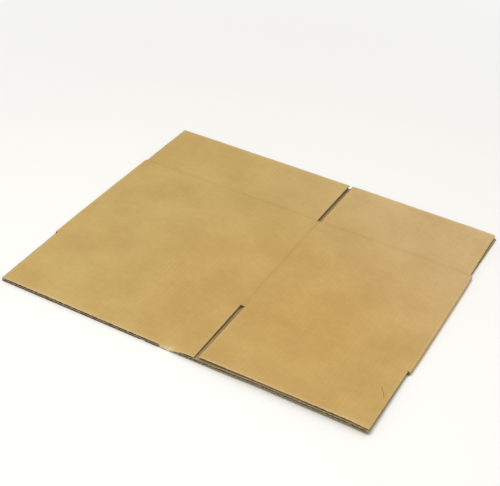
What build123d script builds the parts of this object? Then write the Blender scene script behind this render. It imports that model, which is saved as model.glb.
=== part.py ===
from build123d import *
import math
import os

# A regular slotted shipping box of single-wall corrugated board, glued at its
# one joint and folded flat, as it comes from the maker. It is one blank of
# board: four panels in a row, a flap above and below each panel, and a glue
# tab. Folded flat, two panels lie on top and two underneath, and the four
# panels make a flattened sleeve with a rounded fold at each side.
#
# Frame, in millimetres: +X along the row of panels, +Y from the front flaps to
# the back flaps, +Z up. The origin is on the resting face, in its middle.
# The flutes of the board run along Y.

# The box when it is set up, inside: 12 x 9 x 9 inches
inside_length = 305.0
inside_width = 229.0
inside_height = 229.0

# The board, B flute
board = 3.0
liner = 0.35
medium = 0.3
flute_pitch = 6.7
flute_bond = 1.2

# Slots, scores and glued joint
slot_width = 8.0
slot_overrun = 1.5
crush_width = 8.0
score_width = 5.0
score_depth = 0.6
tab_width = 35.0
tab_thickness = 1.2
tab_clearance = 0.3
tab_end_inset = 2.0
tab_end_taper = 12.0
joint_gap = 3.0

# How far the free edge of each upper flap has sprung up
front_left_spring = 0.3
front_right_spring = 4.8
back_left_spring = 1.2
back_right_spring = 2.0

# Panels from score to score, with the board that each bend takes up
long_panel = inside_length + board
short_panel = inside_width + board
panel_height = inside_height + 2 * board
flap_depth = short_panel / 2
half_height = panel_height / 2
root_depth = crush_width / 2
root_y = -half_height - root_depth

# The flattened sleeve
layer_gap = tab_thickness + tab_clearance
upper_level = board + layer_gap
sleeve_thickness = upper_level + board
sleeve_length = long_panel + short_panel + board
fold_centre = (sleeve_length - sleeve_thickness) / 2
left_score = -(long_panel + short_panel) / 2
right_score = -left_score
upper_score = left_score + long_panel
joint_line = left_score + short_panel


def flute_opening(centre, pitch, under_top_liner):
    """One channel between the corrugated medium and a liner, on the cut edge."""
    rise = board - 2 * liner - medium
    slant = math.atan2(rise, pitch / 2 - flute_bond)
    corner = medium / 2 * math.tan(slant / 2)
    wide = (pitch - flute_bond) / 2 - corner
    narrow = flute_bond / 2 - corner
    at_liner, at_medium = liner, board - liner - medium
    if under_top_liner:
        at_liner, at_medium = board - at_liner, board - at_medium
    return Polygon(
        (centre - wide, at_liner),
        (centre + wide, at_liner),
        (centre + narrow, at_medium),
        (centre - narrow, at_medium),
        align=None,
    )


def board_section(width):
    """Board seen on its cut edge: two liners and the flutes between them.

    The flutes divide the width evenly, so that both sides of a flap are cut
    through the middle of a channel.
    """
    count = max(round(width / flute_pitch), 1)
    pitch = width / count
    upper = [flute_opening(i * pitch, pitch, True) for i in range(count + 1)]
    lower = [flute_opening((i + 0.5) * pitch, pitch, False) for i in range(count)]
    outline = Rectangle(width, board, align=(Align.MIN, Align.MIN))
    return outline - (upper + lower)


def flap_places():
    """Each flap's first score, last score, height, spring and side, -1 in front."""
    return [
        (left_score, upper_score, upper_level, front_left_spring, -1),
        (upper_score, right_score, upper_level, front_right_spring, -1),
        (left_score, upper_score, upper_level, back_left_spring, 1),
        (upper_score, right_score, upper_level, back_right_spring, 1),
        (left_score, joint_line, 0, 0, -1),
        (joint_line, right_score, 0, 0, -1),
        (left_score, joint_line, 0, 0, 1),
        (joint_line, right_score, 0, 0, 1),
    ]


def on_side(piece, side):
    """A back flap is a front flap seen in a mirror across the panels."""
    return piece if side < 0 else piece.mirror(Plane.XZ)


def flap_roots():
    """The solid strip at each flap's root, where the score crushes the flutes."""
    roots = []
    for first, last, level, _, side in flap_places():
        strip = Box(last - first - slot_width, root_depth, board, align=Align.MIN)
        roots.append(on_side(Pos(first + slot_width / 2, root_y, level) * strip, side))
    return roots


def flap_boards():
    """The rest of each flap, with open flutes, sprung up at its free edge."""
    boards = []
    for first, last, level, spring, side in flap_places():
        corner = (first + slot_width / 2, root_y, level)
        cut_edge = Plane(corner, x_dir=(1, 0, 0), z_dir=(0, -1, 0))
        section = (cut_edge * board_section(last - first - slot_width)).face()
        reach = Vector(0, root_depth - flap_depth, spring)
        boards.append(on_side(Solid.extrude(section, reach), side))
    return boards


def sleeve():
    """The four panels folded flat, open at the joint underneath."""
    middle = Pos(0, sleeve_thickness / 2)
    section = middle * SlotCenterToCenter(2 * fold_centre, sleeve_thickness)
    section -= middle * SlotCenterToCenter(2 * fold_centre, layer_gap)
    section -= Pos(joint_line, board / 2) * Rectangle(joint_gap, board)
    return extrude(Plane.XZ * section, amount=half_height, both=True)


def slot_ends():
    """The slots run a little past the scores, into the ends of the sleeve."""
    above = upper_level + board / 2
    below = board / 2
    places = [(upper_score, above), (joint_line, below)]
    places += [(side, level) for side in (left_score, right_score) for level in (above, below)]
    cutter = Box(slot_width, 2 * slot_overrun, board + layer_gap)
    return [Pos(x, y, z) * cutter for x, z in places for y in (-half_height, half_height)]


def score_groove(length, surface, outward):
    """A rounded trough pressed into a face, along X, for its cutter.

    surface is the height of the face, and outward is 1 where it faces up.
    """
    radius = (score_width**2 / 4 + score_depth**2) / (2 * score_depth)
    height = surface + outward * (radius - score_depth)
    return Pos(0, 0, height) * Rot(0, 90, 0) * Cylinder(radius, length)


def score_grooves():
    """Flap scores across both layers, and the panel score on the upper one."""
    cutters = []
    for y in (-half_height, half_height):
        cutters.append(Pos(0, y, 0) * score_groove(sleeve_length, sleeve_thickness, 1))
        cutters.append(Pos(0, y, 0) * score_groove(sleeve_length, 0, -1))
    across = score_groove(panel_height, sleeve_thickness, 1)
    cutters.append(Pos(upper_score, 0, 0) * Rot(0, 0, 90) * across)
    return cutters


def glue_tab():
    """The tab, pressed thin, that steps up from the long lower panel's edge.

    It lies on the inner face of the short lower panel, glued down.
    """
    root = joint_line + joint_gap / 2
    step = joint_line - joint_gap / 2
    end = step - tab_width
    side_view = Polygon(
        (root, board - tab_thickness),
        (root, board),
        (step, board + tab_thickness),
        (end, board + tab_thickness),
        (end, board),
        (step, board),
        align=None,
    )
    root_half = half_height - tab_end_inset
    end_half = half_height - tab_end_taper
    plan = Polygon((root, -root_half), (root, root_half), (end, end_half), (end, -end_half), align=None)
    long_tab = extrude(Plane.XZ * side_view, amount=half_height, both=True)
    return long_tab & extrude(plan, amount=sleeve_thickness)


def flattened_box():
    """The whole glued blank as one solid."""
    creased = sleeve() - slot_ends()
    creased += [glue_tab()] + flap_roots()
    creased -= score_grooves()
    return creased + flap_boards()


os.makedirs("parts", exist_ok=True)
export_step(flattened_box(), "parts/flattened_box.step")
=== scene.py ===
import math

import bpy
from mathutils import Matrix, Vector, noise


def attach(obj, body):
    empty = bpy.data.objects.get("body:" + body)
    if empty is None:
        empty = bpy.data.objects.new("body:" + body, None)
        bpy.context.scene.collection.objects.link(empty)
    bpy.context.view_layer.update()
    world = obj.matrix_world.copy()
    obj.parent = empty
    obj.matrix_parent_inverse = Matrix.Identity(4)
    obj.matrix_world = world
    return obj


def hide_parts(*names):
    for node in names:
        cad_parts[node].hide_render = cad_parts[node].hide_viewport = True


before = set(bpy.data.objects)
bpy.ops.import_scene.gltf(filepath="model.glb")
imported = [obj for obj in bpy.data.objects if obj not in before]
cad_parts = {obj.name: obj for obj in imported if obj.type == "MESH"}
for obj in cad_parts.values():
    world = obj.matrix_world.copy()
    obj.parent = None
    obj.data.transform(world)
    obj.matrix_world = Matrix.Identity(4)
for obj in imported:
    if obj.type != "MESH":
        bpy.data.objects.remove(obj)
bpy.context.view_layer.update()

# Outer liner. The brown kraft paper on the outside of the board: one sheet over
# the upper layer, round both side folds and under the lower layer. The blank is
# cut out flat, with slots, notches and glue tab, then creased, folded and glued.
LONG_PANEL = 0.308
SHORT_PANEL = 0.232
PANEL_HEIGHT = 0.235
BOARD = 0.003
LAYER_GAP = 0.0015
LINER = 0.00034
SLOT_OVERRUN = 0.0015
JOINT_GAP = 0.003
TAB_WIDTH = 0.035
TAB_BOARD = 0.0012
TAB_INSET = 0.002
TAB_TAPER = 0.012

FLAP = SHORT_PANEL / 2
HALF_PANEL = PANEL_HEIGHT / 2
HALF_DEPTH = HALF_PANEL + FLAP
LAYERS = 2 * BOARD + LAYER_GAP
FOLD_CENTRE = (LONG_PANEL + SHORT_PANEL + BOARD - LAYERS) / 2
FOLD_LENGTH = math.pi * (BOARD + LAYER_GAP) / 2

# s runs along the blank. It is x on the upper layer, and goes on round each fold,
# so that the middle of the lower layer is at s = ROUND on the right, -ROUND on the left.
ROUND = 2 * FOLD_CENTRE + FOLD_LENGTH
JOINT = (LONG_PANEL - SHORT_PANEL) / 2
SHORT_END = JOINT + JOINT_GAP / 2 - ROUND
LONG_END = JOINT - JOINT_GAP / 2 + ROUND
TAB_START = LONG_END + JOINT_GAP
TAB_END = TAB_START + TAB_WIDTH

# Both sides of each flap, from left to right along the blank. The box was folded a
# little off its scores, so the slot on top lies 6 mm left of where it was meant to.
FLAP_SIDES = (
    (0.0420 - ROUND, 0.2668 - ROUND),
    (-0.2674, 0.0296),
    (0.0348, 0.2668),
    (ROUND - 0.2668, ROUND + 0.0365),
)
PANEL_SCORE = 0.0327


def hump(distance, width):
    """1 at no distance, falling smoothly to 0 a few widths away."""
    return math.exp(-((distance / width) ** 2))


def ease(value):
    """0 below 0, 1 above 1, and a smooth step between."""
    value = min(max(value, 0), 1)
    return value * value * (3 - 2 * value)


def along_edge(heights, x):
    """A smooth line through pairs of place and height."""
    if x <= heights[0][0]:
        return heights[0][1]
    for (start, low), (end, high) in zip(heights, heights[1:]):
        if x <= end:
            return low + (high - low) * ease((x - start) / (end - start))
    return heights[-1][1]


def upper_x(s):
    """The x of a place once it is folded, mirrored past the middle of the lower layer."""
    beyond = abs(s) - FOLD_CENTRE
    return s if beyond <= 0 else math.copysign(FOLD_CENTRE - max(beyond - FOLD_LENGTH, 0), s)


def from_bend(s):
    """How far s is from the middle of a side fold: 0 there, and 1 where the fold ends."""
    return abs(abs(s) - FOLD_CENTRE - FOLD_LENGTH / 2) / (FOLD_LENGTH / 2)


def to_knife(s):
    """How far a place on a flap is from the nearest of its two sides."""
    return min(abs(s - side) for flap in FLAP_SIDES for side in flap)


# A knock on the front edge has crushed both layers, from x = -21 to 12 mm, and torn
# the outer liner, whose lip hangs over the cut edge.
DENT = (
    (-0.0215, 0),
    (-0.0170, 0.55),
    (-0.0125, 0.60),
    (-0.0065, 1),
    (-0.0030, 1),
    (0.0030, 0.4),
    (0.0120, 0),
)
DENT_REACH = 0.0080
DENT_DROP = 0.0028
DENT_CRUSH = 0.55
DENT_CUT_BACK = 0.0012
LIP = ((-0.0210, 0), (-0.0185, 0.0026), (-0.0120, 0.0021), (-0.0040, 0.0022), (0.0008, 0))
LIP_CUT_BACK = 0.0024


def dent(x, y):
    """How much of the knock reaches a place, from 0 to 1."""
    return along_edge(DENT, x) * hump(y + HALF_DEPTH, DENT_REACH)


# How far each upper flap's cut edge stands above its flat place: the front left
# flap has sunk on to the one under it, and the others have sprung up.
FRONT_LEFT_RISE = (
    (-0.268, -0.0015),
    (-0.175, -0.0012),
    (-0.090, -0.0015),
    (0.004, -0.0012),
    (0.026, 0.0010),
)
FRONT_RIGHT_RISE = ((0.036, 0.0038), (0.110, 0.0046), (0.238, 0.0046), (0.268, 0.0030))
BACK_LEFT_RISE = ((-0.268, 0.0006), (-0.200, 0.0011), (0.032, 0.0014))
BACK_RIGHT_RISE = ((0.036, 0.0019), (0.220, 0.0017), (0.268, 0.0011))
UPPER_CURL = 1.12
FLAP_WAVE = 0.00025
PANEL_CROWN = 0.0006


def lift(x, y):
    """How far the upper layer stands above its flat place."""
    along = (abs(y) - HALF_PANEL) / FLAP
    if along <= 0:
        start, end = (-FOLD_CENTRE, PANEL_SCORE) if x < PANEL_SCORE else (PANEL_SCORE, FOLD_CENTRE)
        across = (2 * x - start - end) / (end - start)
        return PANEL_CROWN * max(1 - across**2, 0) * (1 - (y / HALF_PANEL) ** 2)
    if y < 0:
        rise = along_edge(FRONT_LEFT_RISE if x < PANEL_SCORE else FRONT_RIGHT_RISE, x)
    else:
        rise = along_edge(BACK_LEFT_RISE if x < PANEL_SCORE else BACK_RIGHT_RISE, x)
    wave = FLAP_WAVE * noise.noise(Vector((x * 9, y * 9, 3.1)))
    return rise * along**UPPER_CURL + wave * ease(along * 2) - DENT_DROP * dent(x, y)


# The shares of its thickness that the board loses at a crease, a fold, a knife's cut and
# its cut edge, and how far that reaches, in metres.
SCORE_CRUSH = 0.40
PANEL_SCORE_CRUSH = 0.36
SCORE_REACH = 0.0021
FOLD_CRUSH = 0.06
FOLD_CRIMPS = 0.05
KNIFE_CRUSH = 0.20
KNIFE_REACH = 0.0022
EDGE_CRUSH = 0.16
EDGE_REACH = 0.003


def thinning(s, y):
    """The share of its thickness that the board has lost at a place."""
    kept = 1 - SCORE_CRUSH * hump(abs(y) - HALF_PANEL, SCORE_REACH)
    if abs(y) < HALF_PANEL + 0.002:
        kept *= 1 - PANEL_SCORE_CRUSH * hump(s - PANEL_SCORE, SCORE_REACH)
        crimp = FOLD_CRUSH + FOLD_CRIMPS * noise.noise(Vector((math.copysign(3, s), y * 45, 8.3)))
        kept *= 1 - crimp * ease(1.6 - from_bend(s))
    else:
        kept *= 1 - KNIFE_CRUSH * hump(to_knife(s), KNIFE_REACH)
    ragged = 0.6 + 0.6 * noise.noise(Vector((s * 60, y * 3, 0.7)))
    ragged += 0.8 * max(noise.noise(Vector((s * 170, y * 3, 5.7))), 0)
    kept *= 1 - EDGE_CRUSH * ragged * math.exp(-(HALF_DEPTH - abs(y)) / EDGE_REACH)
    kept *= 1 - DENT_CRUSH * dent(upper_x(s), y)
    return 1 - kept


# The upper flaps are a little off square: each side leans to the right by LEAN less
# TAPER times its x, and the front left flap's corner at the slot by a little more. The
# front right flap is 1.3 mm short, so that a ledge of the long flap below it shows.
LEFT_LEAN = 0.0001
LEFT_TAPER = 0.003
CORNER_LEAN = 0.0013
CORNER_START = 0.012
CORNER_WIDTH = 0.018
RIGHT_LEAN = 0.0021
RIGHT_TAPER = 0.0093
SHORT_CUT = 0.0013
UNDERCUT = 0.0012


def on_upper_layer(s, y, u, half, along, torn):
    """Folded place on the upper layer. half is half the board's thickness, and along
    is 0 at a flap's score and 1 at its cut edge."""
    z = BOARD + LAYER_GAP + BOARD / 2 + lift(s, y) + u * half
    if s < PANEL_SCORE:
        lip = along_edge(LIP, s) / LIP[1][1] if y < 0 else 0
        y += LIP_CUT_BACK * lip * min((1 - u) / 0.4, 1) * hump(y + HALF_DEPTH, DENT_REACH)
        lean = LEFT_LEAN - LEFT_TAPER * s + CORNER_LEAN * ease((s - CORNER_START) / CORNER_WIDTH)
        return s + along * lean, y, z - torn
    if y < 0:
        y += (SHORT_CUT + UNDERCUT * (1 - u) / 2) * along
    return s + along * (RIGHT_LEAN - RIGHT_TAPER * s), y, z


# The folds are squarer than a half circle, whose power is 2, and pressed in at their ends.
FOLD_SQUARE = 2.6
FOLD_PRESS = 0.26
FOLD_PRESS_REACH = 0.022


def on_side_fold(s, y, u, half):
    """Folded place on the left or the right fold."""
    turn = math.pi * (abs(s) - FOLD_CENTRE) / FOLD_LENGTH
    across, up = math.sin(turn), math.cos(turn)
    radius = (BOARD + LAYER_GAP) / 2 + u * half
    radius /= (across**FOLD_SQUARE + abs(up) ** FOLD_SQUARE) ** (1 / FOLD_SQUARE)
    pressed = 1 - FOLD_PRESS * math.exp((abs(y) - HALF_PANEL) / FOLD_PRESS_REACH)
    x = math.copysign(FOLD_CENTRE + radius * across * pressed, s)
    return x, y, LAYERS / 2 + radius * up


# Underneath, the long flap in front has sprung up with the flap above it, and is a little
# short beyond x = 80 mm. The slot beside the joint leans to the left in front, and the
# right flap at the back has been pushed out sideways.
UNDER_RISE = (
    (-0.010, 0),
    (0.020, 0.0024),
    (0.034, 0.0030),
    (0.048, 0.0037),
    (0.058, 0.0038),
    (0.078, 0.0050),
    (0.115, 0.0058),
    (0.238, 0.0058),
    (0.268, 0.0042),
)
UNDER_CURL = 1.3
UNDER_CUT = 0.00065
UNDER_CUT_START = 0.08
UNDER_CUT_WIDTH = 0.04
JOINT_LEAN = 0.0052
JOINT_LEAN_REACH = 0.2
UNDER_LEAN = 0.0024


def on_lower_layer(s, y, u, half, along):
    """Folded place on the lower layer, or on the tab, which steps up on to the short
    panel's inner face and is pressed thin."""
    step = ease((s - LONG_END) / JOINT_GAP)
    half += step * (TAB_BOARD / 2 - half)
    middle = BOARD / 2 + step * (BOARD + TAB_BOARD) / 2
    x = math.copysign(1, s) * (ROUND - abs(s))
    if y < 0 and along > 0:
        crushed = dent(x, y)
        middle = BOARD / 2 - (BOARD / 2 - half) * crushed
        y += DENT_CUT_BACK * crushed
        y += UNDER_CUT * along * ease((x - UNDER_CUT_START) / UNDER_CUT_WIDTH)
        x -= JOINT_LEAN * along * max(1 - abs(x + JOINT) / JOINT_LEAN_REACH, 0)
        middle += along_edge(UNDER_RISE, x) * along**UNDER_CURL
    elif s > 0:
        x += UNDER_LEAN * along
    return x, y, middle - u * half


# The knives and the flap scores were set 5.5 mm too far back, so that the front flaps
# are longer than the back ones.
SET_BACK = 0.0055


def folded(s, y, u, torn=0):
    """Where a point of the flat blank lies in the folded box.

    u is its height in the board: 1 on the outer face, -1 on the inner face.
    torn is how far the paper hangs down over the cut edge there.
    """
    half = BOARD / 2 * (1 - thinning(s, y))
    along = max((abs(y) - HALF_PANEL) / FLAP, 0)
    if abs(s) <= FOLD_CENTRE:
        x, y, z = on_upper_layer(s, y, u, half, along, torn)
    elif abs(s) < FOLD_CENTRE + FOLD_LENGTH:
        x, y, z = on_side_fold(s, y, u, half)
    else:
        x, y, z = on_lower_layer(s, y, u, half, along)
    return Vector((x, y + SET_BACK * (1 - along), z))


def cut_along(place, normal):
    """Cuts the selected faces of the sheet along a line."""
    bpy.ops.mesh.bisect(plane_co=place, plane_no=normal)


def select_faces(sheet, wanted):
    """Selects the sheet's faces, in edit mode, whose middle wanted(s, y) picks out."""
    bpy.ops.mesh.select_mode(type="FACE")
    bpy.ops.mesh.select_all(action="DESELECT")
    bpy.ops.object.mode_set(mode="OBJECT")
    for face in sheet.data.polygons:
        face.select = wanted(face.center.x, face.center.y)
    bpy.ops.object.mode_set(mode="EDIT")


def cut_away(s, y):
    """True where the knives take board away: slots, notches and beside the tab."""
    if abs(y) < HALF_PANEL - SLOT_OVERRUN:
        return False
    return not any(left < s < right for left, right in FLAP_SIDES)


# The sheet is divided more finely at the panel score, the knock, the side folds and
# the flaps' sides.
SCORE_STEP = 0.0012
DENT_STEP = 0.0014
FOLD_STEPS = 10
KNIFE_STEPS = (0, 0.0002, 0.0005, 0.0009, 0.0022)


def lines_across():
    """Places along the blank where the sheet needs an edge across it."""
    places = [PANEL_SCORE + step * SCORE_STEP for step in range(-3, 4)]
    places += [DENT[0][0] + step * DENT_STEP for step in range(26)]
    places += [LONG_END, LONG_END + JOINT_GAP / 3, LONG_END + JOINT_GAP * 2 / 3, TAB_START]
    for step in range(FOLD_STEPS + 1):
        places += [side * (FOLD_CENTRE + FOLD_LENGTH * step / FOLD_STEPS) for side in (-1, 1)]
    for left, right in FLAP_SIDES:
        for inward in KNIFE_STEPS:
            places += [left + inward, right - inward]
    return places


def flat_blank(name, columns, rows):
    """The blank as one flat sheet, cut to its outline, with its map in metres.

    rows are the distances from the middle line at which the sheet can bend.
    """
    bpy.ops.object.select_all(action="DESELECT")
    bpy.ops.mesh.primitive_grid_add(x_subdivisions=columns, y_subdivisions=1, size=1)
    sheet = bpy.context.object
    sheet.name = name
    sheet.location = ((SHORT_END + TAB_END) / 2, 0, 0)
    sheet.scale = (TAB_END - SHORT_END, 2 * HALF_DEPTH, 1)
    bpy.ops.object.transform_apply(location=True, rotation=False, scale=True)
    bpy.ops.object.mode_set(mode="EDIT")
    for place in lines_across():
        bpy.ops.mesh.select_all(action="SELECT")
        cut_along((place, 0, 0), (1, 0, 0))
    for row in sorted(rows + [HALF_PANEL - SLOT_OVERRUN]):
        for side in (-1, 1):
            bpy.ops.mesh.select_all(action="SELECT")
            cut_along((0, side * row, 0), (0, 1, 0))

    select_faces(sheet, cut_away)
    bpy.ops.mesh.delete(type="FACE")
    for side in (-1, 1):
        select_faces(sheet, lambda s, y: s > LONG_END)
        root = Vector((LONG_END, side * (HALF_PANEL - TAB_INSET), 0))
        tip = Vector((TAB_END, side * (HALF_PANEL - TAB_TAPER), 0))
        outward = (tip - root).cross(Vector((0, 0, side)))
        bpy.ops.mesh.bisect(plane_co=root, plane_no=outward, clear_outer=True)
    bpy.ops.object.mode_set(mode="OBJECT")
    sheet_map = sheet.data.uv_layers.active.data
    for loop in sheet.data.loops:
        place = sheet.data.vertices[loop.vertex_index].co
        sheet_map[loop.index].uv = (place.x, place.y)
    return sheet


# How pale each kind of place is painted, where 1 is a cut edge, and how far that
# reaches: rubbed paper with some painted highlight at the cut edges, rubbed paper at the flaps'
# sides, a painted highlight on the folds' shoulders, and painted highlight with some scuff at the
# knock.
EDGE_RUB_AND_HIGHLIGHT_REACH = 0.0022
SIDE_RUB = 0.8
SIDE_RUB_REACH = 0.0014
FOLD_HIGHLIGHT = 0.45
DENT_HIGHLIGHT = 1.2
MOST_RUB_AND_HIGHLIGHT = 1.6


def rub_and_painted_highlight(s, y):
    """How pale a place is painted: rub with some painted highlight at cut edges, a painted highlight
    on the folds' shoulders, and most of all painted highlight with some scuff at the knock.
    """
    rub_and_highlight = math.exp(-(HALF_DEPTH - abs(y)) / EDGE_RUB_AND_HIGHLIGHT_REACH)
    if abs(y) > HALF_PANEL:
        rub_and_highlight = max(rub_and_highlight, SIDE_RUB * math.exp(-to_knife(s) / SIDE_RUB_REACH))
    rub_and_highlight = max(rub_and_highlight, FOLD_HIGHLIGHT * hump(from_bend(s) - 0.8, 0.3))
    return min(rub_and_highlight + DENT_HIGHLIGHT * dent(upper_x(s), y) ** 2, MOST_RUB_AND_HIGHLIGHT)


# How dark each crease is painted, as shade with some crushed fibre: the front flaps' hardly shows.
FRONT_CREASE_SHADE = 0.1
BACK_CREASE_SHADE = 0.5
FLAP_CREASE_OFFSET = 0.0008
FLAP_CREASE_WIDTH = 0.0032
PANEL_CREASE_SHADE = 0.5
PANEL_CREASE_WIDTH = 0.0026


def painted_crease_shade(s, y):
    """How much painted shade, with some crushed fibre, darkens a crease, from 0 to 1."""
    crease_shade = FRONT_CREASE_SHADE if y < 0 else BACK_CREASE_SHADE
    crease_shade *= hump(abs(y) - HALF_PANEL + FLAP_CREASE_OFFSET, FLAP_CREASE_WIDTH)
    if abs(y) < HALF_PANEL:
        crease_shade = max(crease_shade, PANEL_CREASE_SHADE * hump(s - PANEL_SCORE, PANEL_CREASE_WIDTH))
    return crease_shade


def mark_highlight_wear_and_shade(sheet):
    """Notes how pale each place of the sheet is painted, for rub and painted highlight, and how much
    painted shade its creases get.
    """
    for name, amount in (("wear_and_highlight", rub_and_painted_highlight), ("crease_shade", painted_crease_shade)):
        marks = sheet.data.attributes.new(name, "FLOAT", "POINT")
        for vertex, mark in zip(sheet.data.vertices, marks.data):
            mark.value = amount(vertex.co.x, vertex.co.y)


# How ragged the paper's cut edge is.
FRAY = 0.00018


def fold_sheet(sheet, height, hang=None):
    """Folds the flat sheet. height(s, y) is where in the board it runs, and hang(s, y)
    how far it hangs over the cut edge."""
    for vertex in sheet.data.vertices:
        s, y = vertex.co.x, vertex.co.y
        torn = hang(s, y) if hang else 0
        fray = FRAY * (1 + noise.noise(Vector((s * 260, y * 260, height(s, y)))))
        if HALF_DEPTH - abs(y) < 0.0001:
            y -= math.copysign(fray, y)
        vertex.co = folded(s, y, height(s, y), torn)


def give_thickness(sheet, thickness, offset, outward, rim, inward):
    """Turns the folded sheet into a closed skin, and paints the side that faces out
    of the box, the rim and the side that faces into the box."""
    for paint in (outward, rim, inward):
        sheet.data.materials.append(paint)
    bpy.ops.object.select_all(action="DESELECT")
    bpy.context.view_layer.objects.active = sheet
    sheet.select_set(True)
    skin = sheet.modifiers.new("thickness", "SOLIDIFY")
    skin.thickness = thickness
    skin.offset = offset
    skin.use_even_offset = False
    skin.material_offset_rim = 1
    skin.material_offset = 2
    bpy.ops.object.modifier_apply(modifier=skin.name)
    bpy.ops.object.shade_smooth_by_angle(angle=math.radians(40))


def from_screen(red, green, blue):
    """A colour as a screen shows it, 0 to 255, in a shader's own values."""
    values = [channel / 255 for channel in (red, green, blue)]
    return tuple(v / 12.92 if v <= 0.04045 else ((v + 0.055) / 1.055) ** 2.4 for v in values) + (1,)


FLUTE_PITCH = 0.0067

# What the paper's own colour is multiplied by: dark and pale fibres, troughs and crests
# of the flutes, painted shade in the creases, a painted warm shade and reflection on the
# front of the right half, and a painted sheen that pales its back.
FIBRE_TINTS = ((0.94, 0.93, 0.91, 1), (1.03, 1.03, 1.03, 1))
FLUTE_TINTS = ((0.982, 0.980, 0.976, 1), (1.012, 1.012, 1.012, 1))
CREASE_SHADE_TINT = (0.86, 0.85, 0.83, 1)
WARM_SHADE_TINT = (1.0, 0.91, 0.80, 1)
WARM_SHADE_MIDDLE = (0.13, -0.10)
PAINTED_SHEEN_TINT = (1.09, 1.105, 1.44, 1)

# A scratch near the front right corner, with a pale line beside it: where it starts, how
# far it runs to the front, and the two values that set its curve to the right.
SCRATCH_START = (0.2490, -0.1600)
SCRATCH_DEPTH = 0.0180
SCRATCH_BEND = (0.0172, 0.0052)


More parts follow.
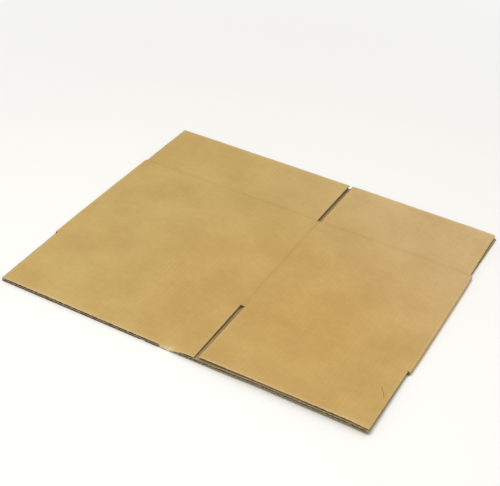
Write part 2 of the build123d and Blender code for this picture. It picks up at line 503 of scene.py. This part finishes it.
def kraft_paper(name, light, dark, fleck, pale, formed=120, cloudy=0.62, rub_and_highlight_strength=0.75, face=False):
    """Kraft paper in two tones, with cloudy formation, fibres, flecks and flute lines.

    formed is how many clumps of fibre there are to a metre, about, and cloudy how
    much of the tone comes from the wide clouds. rub_and_highlight_strength is how much the rub
    and the painted highlight show, and face adds what only the outside has: the painted warm
    shade and reflection and the painted sheen of the right half, and the scratch.
    """
    paint = bpy.data.materials.new(name)
    paint.use_nodes = True
    nodes, links = paint.node_tree.nodes, paint.node_tree.links
    shader = nodes["Principled BSDF"]
    place = nodes.new("ShaderNodeUVMap").outputs["UV"]

    def feed(socket, value):
        if isinstance(value, (int, float, tuple)):
            socket.default_value = value
        else:
            links.new(value, socket)

    def spots(per_metre, detail, stretch=(1, 1, 1)):
        mapping = nodes.new("ShaderNodeMapping")
        mapping.inputs["Scale"].default_value = stretch
        links.new(place, mapping.inputs["Vector"])
        texture = nodes.new("ShaderNodeTexNoise")
        texture.inputs["Scale"].default_value = per_metre
        texture.inputs["Detail"].default_value = detail
        links.new(mapping.outputs["Vector"], texture.inputs["Vector"])
        return texture.outputs["Fac"]

    def figure(operation, *values):
        node = nodes.new("ShaderNodeMath")
        node.operation = operation
        for socket, value in zip(node.inputs, values):
            feed(socket, value)
        return node.outputs["Value"]

    def between(value, low, high, new_low=0.0, new_high=1.0):
        node = nodes.new("ShaderNodeMapRange")
        for socket, setting in zip(node.inputs, (value, low, high, new_low, new_high)):
            feed(socket, setting)
        return node.outputs["Result"]

    def blend(kind, amount, below, above):
        node = nodes.new("ShaderNodeMix")
        node.data_type = "RGBA"
        node.blend_type = kind
        for label, value in (("Factor", amount), ("A", below), ("B", above)):
            feed([i for i in node.inputs if i.name == label and i.enabled][0], value)
        return [o for o in node.outputs if o.enabled][0]

    def tinted(amount, colour, tint):
        return blend("MIX", amount, colour, blend("MULTIPLY", 1.0, colour, tint))

    # Two tones of pulp, then fibres and dark flecks.
    clouds = between(spots(14, 2), 0.33, 0.67)
    formation = between(spots(formed, 4, (0.75, 1, 1)), 0.3, 0.7)
    fibres = between(spots(1500, 3, (0.25, 1, 1)), 0.28, 0.72)
    flecks = between(spots(1100, 1, (0.5, 1, 1)), 0.70, 0.75)
    tone = figure("ADD", figure("MULTIPLY", clouds, cloudy), figure("MULTIPLY", formation, 1 - cloudy))
    colour = blend("MIX", tone, dark, light)
    colour = blend("MULTIPLY", 1.0, colour, blend("MIX", fibres, *FIBRE_TINTS))
    colour = blend("MIX", figure("MULTIPLY", flecks, 0.30), colour, fleck)

    # The flutes show through as faint lines, in patches.
    split = nodes.new("ShaderNodeSeparateXYZ")
    links.new(place, split.inputs["Vector"])
    s, y = split.outputs["X"], split.outputs["Y"]
    wave = figure("SINE", figure("MULTIPLY", s, 2 * math.pi / FLUTE_PITCH))
    flute_line = figure("MULTIPLY", wave, between(spots(30, 2), 0.35, 0.65, 0.2, 1.0))
    stripe = blend("MIX", between(flute_line, -1, 1), *FLUTE_TINTS)
    colour = blend("MULTIPLY", 1.0, colour, stripe)

    if face:
        # Painted warm shade and reflection on the front of the right half, and a painted sheen that
        # pales its back.
        aside = figure("SUBTRACT", s, WARM_SHADE_MIDDLE[0])
        ahead = figure("SUBTRACT", y, WARM_SHADE_MIDDLE[1])
        squares = (figure("MULTIPLY", aside, aside), figure("MULTIPLY", ahead, ahead))
        warm_shade = between(figure("SQRT", figure("ADD", *squares)), 0.28, 0.04)
        colour = tinted(warm_shade, colour, WARM_SHADE_TINT)
        colour = tinted(between(figure("ADD", s, y), 0.08, 0.34), colour, PAINTED_SHEEN_TINT)

    # Painted shade, with some crushed fibre, darkens the creases.
    crease_shade = nodes.new("ShaderNodeAttribute")
    crease_shade.attribute_name = "crease_shade"
    colour = tinted(crease_shade.outputs["Fac"], colour, CREASE_SHADE_TINT)
    # Rubbed places, and the painted highlights on the folds' shoulders, the cut edges and the knock,
    # are painted pale.
    wear_and_highlight = nodes.new("ShaderNodeAttribute")
    wear_and_highlight.attribute_name = "wear_and_highlight"
    patchy = between(spots(420, 3), 0.36, 0.64, 0.25, 1.0)
    rub_and_highlight = figure("MULTIPLY", figure("MULTIPLY", wear_and_highlight.outputs["Fac"], patchy), rub_and_highlight_strength)
    colour = blend("MIX", figure("MINIMUM", rub_and_highlight, 0.9), colour, pale)

    height = figure("ADD", figure("MULTIPLY", fibres, 0.35), figure("MULTIPLY", formation, 0.5))
    height = figure("ADD", height, figure("MULTIPLY", flute_line, 0.12))
    if face:
        down = figure("DIVIDE", figure("SUBTRACT", SCRATCH_START[1], y), SCRATCH_DEPTH)
        slope = figure("SUBTRACT", SCRATCH_BEND[0], figure("MULTIPLY", down, SCRATCH_BEND[1]))
        curve = figure("ADD", figure("MULTIPLY", down, slope), SCRATCH_START[0])
        off_line = figure("SUBTRACT", s, curve)
        along = figure("MULTIPLY", between(down, 0, 0.12), between(down, 1, 0.8))
        dark_line = figure("MULTIPLY", between(figure("ABSOLUTE", off_line), 0.0010, 0.0003), along)
        beside = figure("ABSOLUTE", figure("ADD", off_line, 0.0011))
        pale_line = figure("MULTIPLY", between(beside, 0.0009, 0.0002), along)
        colour = blend("MIX", figure("MULTIPLY", pale_line, 0.35), colour, pale)
        colour = blend("MIX", figure("MULTIPLY", dark_line, 0.75), colour, fleck)
        height = figure("SUBTRACT", height, figure("MULTIPLY", dark_line, 0.6))
    links.new(colour, shader.inputs["Base Color"])
    bump = nodes.new("ShaderNodeBump")
    bump.inputs["Strength"].default_value = 0.6
    bump.inputs["Distance"].default_value = 0.0001
    links.new(height, bump.inputs["Height"])
    links.new(bump.outputs["Normal"], shader.inputs["Normal"])
    links.new(between(formation, 0, 1, 0.66, 0.80), shader.inputs["Roughness"])
    shader.inputs["Specular IOR Level"].default_value = 0.35
    return paint


def finish_piece(piece):
    """Hides the model's flattened_box part, which the sheet stands in for, and hangs the sheet under
    the root body.
    """
    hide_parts("flattened_box")
    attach(piece, "root")


face_kraft = kraft_paper(
    "kraft_liner_face",
    light=from_screen(200, 170, 105),
    dark=from_screen(186, 154, 90),
    fleck=from_screen(112, 82, 44),
    pale=from_screen(226, 206, 160),
    face=True,
)
# Cut edges: the pale speckle is a painted highlight on the liners' rims, and the dark speckle is
# painted shade in the flute openings.
cut_edge_shade_and_highlight = kraft_paper(
    "cut_edge_painted_shade_and_highlight",
    light=from_screen(255, 238, 192),
    dark=from_screen(92, 72, 42),
    fleck=from_screen(80, 62, 36),
    pale=from_screen(220, 196, 144),
    formed=210,
    cloudy=0.05,
    rub_and_highlight_strength=0.12,
)
# Inside the board: a near black brown, painted as the shade in the flutes' channels, on the medium and
# on the liners' sides that face it.
flute_shade = kraft_paper(
    "flutes_painted_shade",
    light=from_screen(66, 50, 26),
    dark=from_screen(46, 34, 16),
    fleck=from_screen(38, 28, 14),
    pale=from_screen(78, 60, 34),
)

# Rows of edges along the blank: on both sides of each flap score, towards the cut edge
# and in the panels. Columns are what the whole blank is divided into.
SCORE_ROWS = (0, 0.0006, 0.0013, 0.0021, 0.003, 0.0042, 0.006)
EDGE_ROWS = (0.0008, 0.0018, 0.0032, 0.0055, 0.009, 0.014, 0.022, 0.034, 0.052, 0.072, 0.092)
PANEL_ROWS = (0, 0.025, 0.055, 0.085)
LINER_COLUMNS = 330
liner_rows = [HALF_PANEL - offset for offset in SCORE_ROWS[:0:-1]]
liner_rows += [HALF_PANEL + offset for offset in SCORE_ROWS]
liner_rows += [HALF_DEPTH - depth for depth in EDGE_ROWS]
liner_rows += PANEL_ROWS

# The knives pinch the liners together at a flap's sides, and the torn lip hangs over
# the cut edge from just behind it.
KNIFE_PINCH = 0.8
PINCH_REACH = 0.0009
LIP_REACH = 0.0009


def pinch(s, y):
    """How far the liners are pinched together at a flap's side."""
    if abs(y) < HALF_PANEL - SLOT_OVERRUN:
        return 0
    return KNIFE_PINCH * max(1 - to_knife(s) / PINCH_REACH, 0) ** 1.5


def torn_lip(s, y):
    """How far the outer liner's torn lip hangs over the cut edge at the knock."""
    ragged = 1 + 0.35 * noise.noise(Vector((s * 420, 4.2, 1.7)))
    return ragged * along_edge(LIP, s) * math.exp(-(y + HALF_DEPTH) / LIP_REACH) if y < 0 else 0


outer_liner = flat_blank("outer_liner", LINER_COLUMNS, liner_rows)
mark_highlight_wear_and_shade(outer_liner)
fold_sheet(outer_liner, lambda s, y: 1 - pinch(s, y), torn_lip)
# The outer liner's side in the board is painted with the flutes' shade.
give_thickness(outer_liner, LINER, -1, face_kraft, cut_edge_shade_and_highlight, flute_shade)
finish_piece(outer_liner)

# Inner liner. The paper that would be the inside of the box. It is a little paler than the
# outside, but it is painted darker, as shade at the bottom of the slots and in the gap between
# the layers. Folded flat, it shows only as the second line of each cut edge, in the gap
# between the layers and at the bottom of the slots.
inner_kraft_shaded = kraft_paper(
    "kraft_liner_inside_shaded",
    light=from_screen(174, 147, 96),
    dark=from_screen(156, 129, 80),
    fleck=from_screen(118, 90, 56),
    pale=from_screen(190, 166, 116),
)
inner_liner = flat_blank("inner_liner", LINER_COLUMNS, liner_rows)
mark_highlight_wear_and_shade(inner_liner)
fold_sheet(inner_liner, lambda s, y: pinch(s, y) - 1)
# Its side in the board gets the flutes' painted shade, and its inside gets the darkened inner paint.
give_thickness(inner_liner, LINER, 1, flute_shade, cut_edge_shade_and_highlight, inner_kraft_shaded)
finish_piece(inner_liner)

# Fluted medium. Thin grey-brown paper pressed into waves and bonded between the
# liners, painted near black on both sides as the shade in the channels. It is open at every cut edge,
# and squashed flat at the scores.
MEDIUM = 0.0003
COLUMNS_PER_FLUTE = 10
WAVE_HEIGHT = 1 - (2 * LINER + MEDIUM) / BOARD
ROUNDNESS = 1.6
WANDER = 0.0004
CRUSHED_WANDER = 0.0011
PRESSED_SHARE = 0.62
PRESSED_REACH = 0.007


def flute_wave(s, y):
    """Height of the medium in the board, from -1 to 1, at a place on the blank."""
    lean = WANDER * noise.noise(Vector((s * 35, y * 14, 5.5)))
    crushed = math.exp(-(HALF_DEPTH - abs(y)) / EDGE_REACH)
    lean += CRUSHED_WANDER * crushed * noise.noise(Vector((s * 110, y * 5, 2.2)))
    wave = math.sin(2 * math.pi * (s + lean) / FLUTE_PITCH)
    wave = WAVE_HEIGHT * math.tanh(ROUNDNESS * wave) / math.tanh(ROUNDNESS)
    if y < 0 and PANEL_SCORE < s < FOLD_CENTRE:
        # The knife has pressed the front right flap's flutes down on to the inner liner.
        pressed = PRESSED_SHARE * math.exp(-(HALF_DEPTH + y) / PRESSED_REACH)
        wave -= pressed * (wave + WAVE_HEIGHT)
    return wave


medium_rows = [HALF_PANEL + offset for offset in (-0.006, -0.003, -0.0013, 0, 0.0013, 0.003, 0.006)]
medium_rows += [HALF_DEPTH - depth for depth in (0.0012, 0.004, 0.010, 0.022, 0.052)] + [0.058]
flutes = round((TAB_END - SHORT_END) / FLUTE_PITCH)
medium = flat_blank("fluted_medium", flutes * COLUMNS_PER_FLUTE, medium_rows)
mark_highlight_wear_and_shade(medium)
fold_sheet(medium, flute_wave)
give_thickness(medium, MEDIUM, 0, flute_shade, cut_edge_shade_and_highlight, flute_shade)
finish_piece(medium)

# Floor. A wide plain sheet for the box to lie on, pale to the camera, and less so to
# the box. Far from the box it fades into the pale surround. A Mix node's two colours are
# its sockets 6 and 7.
FADE_START = 0.5
FADE_END = 1.3
SURROUND_SEEN = 0.96
FIRST_COLOUR = 6
SECOND_COLOUR = 7


def seen(tree):
    """1 for what the camera sees, also in a mirror or through glass, and 0 for light."""
    ray = tree.nodes.new("ShaderNodeLightPath")
    socket = ray.outputs["Is Camera Ray"]
    for other in ("Is Glossy Ray", "Is Transmission Ray"):
        either = tree.nodes.new("ShaderNodeMath")
        either.operation = "MAXIMUM"
        tree.links.new(socket, either.inputs[0])
        tree.links.new(ray.outputs[other], either.inputs[1])
        socket = either.outputs["Value"]
    return socket


bpy.ops.object.select_all(action="DESELECT")
bpy.ops.mesh.primitive_plane_add(size=12, location=(0, 0, -0.0001))
floor = bpy.context.object
floor.name = "floor"
floor_paint = bpy.data.materials.new("pale_floor")
floor_paint.use_nodes = True
floor_nodes, floor_links = floor_paint.node_tree.nodes, floor_paint.node_tree.links
floor_seen = seen(floor_paint.node_tree)
floor_tones = floor_nodes.new("ShaderNodeMix")
floor_tones.data_type = "RGBA"
floor_tones.inputs[FIRST_COLOUR].default_value = from_screen(205, 203, 198)
floor_tones.inputs[SECOND_COLOUR].default_value = from_screen(249, 248, 243)
floor_links.new(floor_seen, floor_tones.inputs[0])
floor_shader = floor_nodes["Principled BSDF"]
floor_shader.inputs["Roughness"].default_value = 0.9
floor_links.new(floor_tones.outputs[2], floor_shader.inputs["Base Color"])

from_box = floor_nodes.new("ShaderNodeVectorMath")
from_box.operation = "LENGTH"
floor_links.new(floor_nodes.new("ShaderNodeTexCoord").outputs["Object"], from_box.inputs[0])
far_away = floor_nodes.new("ShaderNodeMapRange")
far_away.inputs["From Min"].default_value = FADE_START
far_away.inputs["From Max"].default_value = FADE_END
floor_links.new(from_box.outputs["Value"], far_away.inputs["Value"])
floor_links.new(floor_seen, far_away.inputs["To Max"])
haze = floor_nodes.new("ShaderNodeEmission")
haze.inputs["Strength"].default_value = SURROUND_SEEN
floor_mix = floor_nodes.new("ShaderNodeMixShader")
floor_links.new(far_away.outputs["Result"], floor_mix.inputs["Fac"])
floor_links.new(floor_shader.outputs["BSDF"], floor_mix.inputs[1])
floor_links.new(haze.outputs["Emission"], floor_mix.inputs[2])
floor_links.new(floor_mix.outputs["Shader"], floor_nodes["Material Output"].inputs["Surface"])
floor.data.materials.append(floor_paint)


# Studio light. Two soft square lamps above the box, one in front and one behind, and
# an even pale surround.
def soft_lamp(name, place, size, power):
    """A square lamp that faces the middle of the box."""
    lamp = bpy.data.lights.new(name, "AREA")
    lamp.shape = "SQUARE"
    lamp.size = size
    lamp.energy = power
    holder = bpy.data.objects.new(name, lamp)
    bpy.context.scene.collection.objects.link(holder)
    holder.location = place
    holder.rotation_euler = (-Vector(place)).to_track_quat("-Z", "Y").to_euler()


SURROUND_LIGHT = 0.46
soft_lamp("back_lamp", (0.8, 0.7, 2.2), size=1.6, power=11)
soft_lamp("front_lamp", (-0.3, -1.1, 2.4), size=1.2, power=36)
surround = bpy.data.worlds.new("surround")
surround.use_nodes = True
background = surround.node_tree.nodes["Background"]
background.inputs["Color"].default_value = (1, 1, 1, 1)
strength = surround.node_tree.nodes.new("ShaderNodeMapRange")
strength.inputs["To Min"].default_value = SURROUND_LIGHT
strength.inputs["To Max"].default_value = SURROUND_SEEN
surround.node_tree.links.new(seen(surround.node_tree), strength.inputs["Value"])
surround.node_tree.links.new(strength.outputs["Result"], background.inputs["Strength"])
bpy.context.scene.world = surround
bpy.context.scene.view_settings.view_transform = "Standard"

# Camera. It looks down on the front right corner, at the photograph's angle and with
# its length of lens.
CAMERA_PLACE = (0.5241, -1.1168, 0.9214)
CAMERA_DOWN = math.radians(35.949)
CAMERA_LEFT = math.radians(25.900)
CAMERA_ROLL = math.radians(4.591)
FOCAL_PIXELS = 1097.4
IMAGE_WIDTH = 500
camera_data = bpy.data.cameras.new("camera")
camera_data.sensor_width = 36
camera_data.lens = camera_data.sensor_width * FOCAL_PIXELS / IMAGE_WIDTH
camera = bpy.data.objects.new("camera", camera_data)
bpy.context.scene.collection.objects.link(camera)
turn = Matrix.Rotation(CAMERA_LEFT, 4, "Z") @ Matrix.Rotation(math.pi / 2 - CAMERA_DOWN, 4, "X")
camera.matrix_world = Matrix.Translation(CAMERA_PLACE) @ turn @ Matrix.Rotation(CAMERA_ROLL, 4, "Z")
bpy.context.scene.camera = camera
